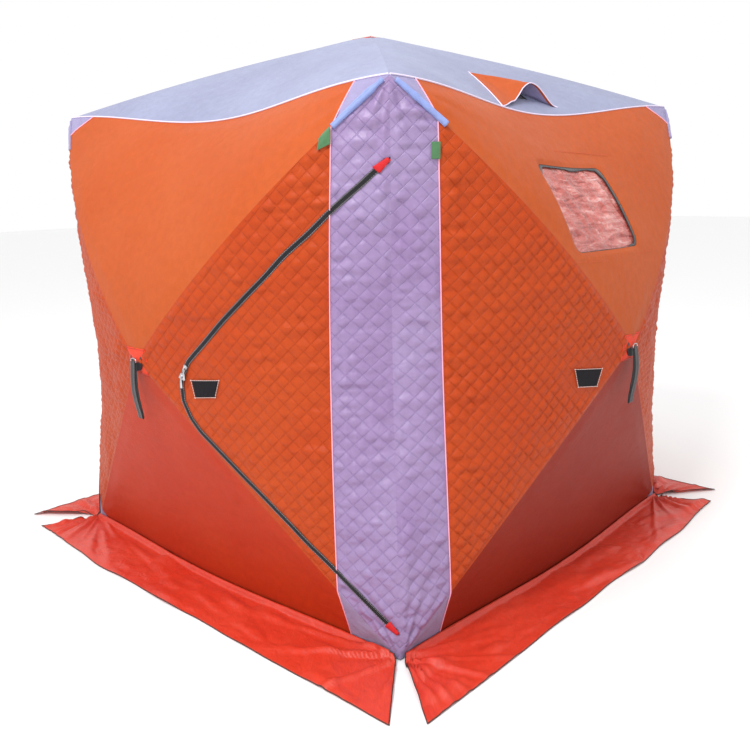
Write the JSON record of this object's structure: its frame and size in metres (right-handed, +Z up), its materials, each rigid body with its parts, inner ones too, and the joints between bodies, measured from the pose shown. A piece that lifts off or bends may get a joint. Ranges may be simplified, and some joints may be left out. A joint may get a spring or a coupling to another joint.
{
  "type": "pop-up ice fishing hut",
  "caption": "Cube-shaped pop-up fabric shelter with outward-pushed walls and roof, zipped corner door, clear window, roof vent and ground skirt.",
  "frame": {"origin": "ground level, under the middle of the shelter", "axes": "+Z up, -Y out of the front wall with the door, +X out of the right wall with the window"},
  "size_m": [2.48, 2.48, 2.1046],
  "materials": {
    "orange_top_cloth": "smooth coated polyester",
    "orange_quilted_cloth": "quilted polyester",
    "orange_lower_cloth": "coated polyester",
    "lavender_cloth": "quilted polyester",
    "roof_cloth": "coated polyester",
    "skirt_cloth": "coated polyester",
    "patch_cloth": "coated polyester",
    "black_webbing": "woven webbing",
    "green_webbing": "woven webbing",
    "sleeve_cloth": "woven polyester",
    "clear_film": "clear vinyl film",
    "vent_mesh": "woven mesh",
    "hub_plastic": "moulded nylon",
    "pole_glass_fibre": "pultruded glass fibre",
    "zipper_metal": "die cast"
  },
  "bodies": {
    "shelter": {"front_top": "orange_top_cloth", "front_left": "orange_quilted_cloth", "front_surround": "orange_quilted_cloth", "front_bottom": "orange_lower_cloth", "door_corner_upper": "lavender_cloth", "door_corner_lower": "lavender_cloth", "right_band": "lavender_cloth", "right_top": "orange_top_cloth", "right_left": "orange_quilted_cloth", "right_right": "orange_quilted_cloth", "right_bottom": "orange_lower_cloth", "back_top": "orange_top_cloth", "back_left": "orange_quilted_cloth", "back_right": "orange_quilted_cloth", "back_bottom": "orange_lower_cloth", "left_top": "orange_top_cloth", "left_left": "orange_quilted_cloth", "left_right": "orange_quilted_cloth", "left_bottom": "orange_lower_cloth", "roof_front": "roof_cloth", "roof_right": "roof_cloth", "roof_back": "roof_cloth", "roof_left": "roof_cloth", "vent_hood": "orange_top_cloth", "vent_screen": "vent_mesh", "window_films": "clear_film", "window_trims": "black_webbing", "corner_caps": "lavender_cloth", "foot_patches": "lavender_cloth", "skirt_flaps": "skirt_cloth", "zipper_tape": "black_webbing", "zipper_sliders": "zipper_metal", "zipper_end_tabs": "patch_cloth", "hub_patches": "patch_cloth", "pull_straps": "black_webbing", "side_patch": "black_webbing", "pull_tabs": "green_webbing", "pole_sleeves": "sleeve_cloth", "hubs": "hub_plastic", "wall_poles": "pole_glass_fibre", "roof_poles": "pole_glass_fibre", "corner_sockets": "hub_plastic"},
    "door": {"door_flap": "orange_quilted_cloth", "door_flap_band": "lavender_cloth", "door_flap_patch": "black_webbing", "zipper_flap_tape": "black_webbing"}
  },
  "joints": [
    {"name": "door_fold", "type": "hinge", "parent": "shelter", "child": "door", "pos_m": [0.935, -0.935, 0.9], "axis": [0, 0, 1], "range_deg": [0, 110], "deforming": ["door_flap_band"]}
  ]
}
